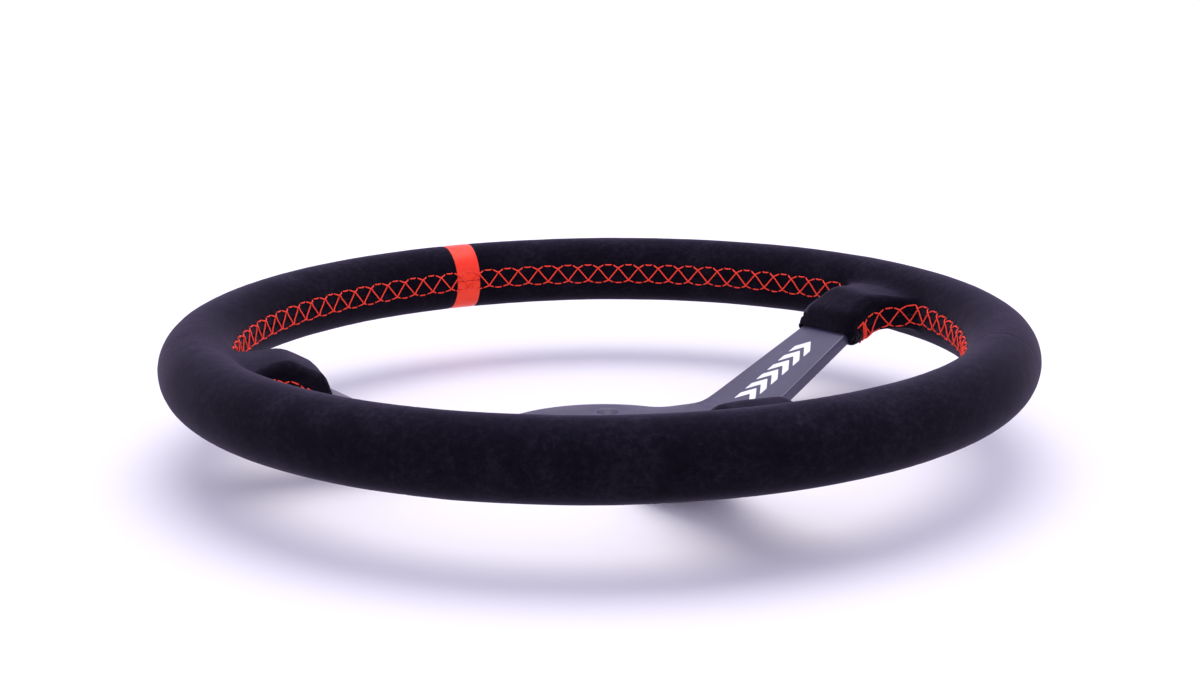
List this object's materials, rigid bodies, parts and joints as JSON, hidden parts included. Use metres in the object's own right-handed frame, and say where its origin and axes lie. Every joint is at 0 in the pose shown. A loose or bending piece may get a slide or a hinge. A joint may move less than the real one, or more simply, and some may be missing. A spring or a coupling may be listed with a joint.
{
  "type": "steering wheel",
  "caption": "Dished three-spoke steering wheel with a padded suede rim, laced inner seam, marker band and a flat hub plate with bolt holes on a circle.",
  "frame": {"origin": "centre of the hub plate's rear face, on the wheel's axis", "axes": "+Z along the steering axis towards the driver, +Y to 12 o'clock (the marker band), +X to 3 o'clock as the driver sees it"},
  "size_m": [0.35, 0.35, 0.0564],
  "materials": {
    "spoke_metal": "satin black anodised with a blue cast, fine grain, slightly brighter edges",
    "steel": "plain zinc-plated",
    "foam": "moulded polyurethane foam, matt",
    "suede": "black suede, short soft nap",
    "band": "smooth coated leather, semi-gloss",
    "thread": "waxed polyester thread, twisted",
    "print_ink": "white screen print"
  },
  "bodies": {
    "root": {"spoke_plate": "spoke_metal", "rim_hoop": "steel", "foam_grip": "foam", "cover_right": "suede", "cover_bottom": "suede", "cover_left": "suede", "marker_band": "band", "lacing_top": "thread", "lacing_lower_right": "thread", "lacing_lower_left": "thread", "saddle_right": "steel", "saddle_bottom": "steel", "saddle_left": "steel", "rivet_right_1": "steel", "rivet_right_2": "steel", "rivet_bottom_1": "steel", "rivet_bottom_2": "steel", "rivet_left_1": "steel", "rivet_left_2": "steel", "spoke_print": "print_ink"}
  },
  "joints": []
}
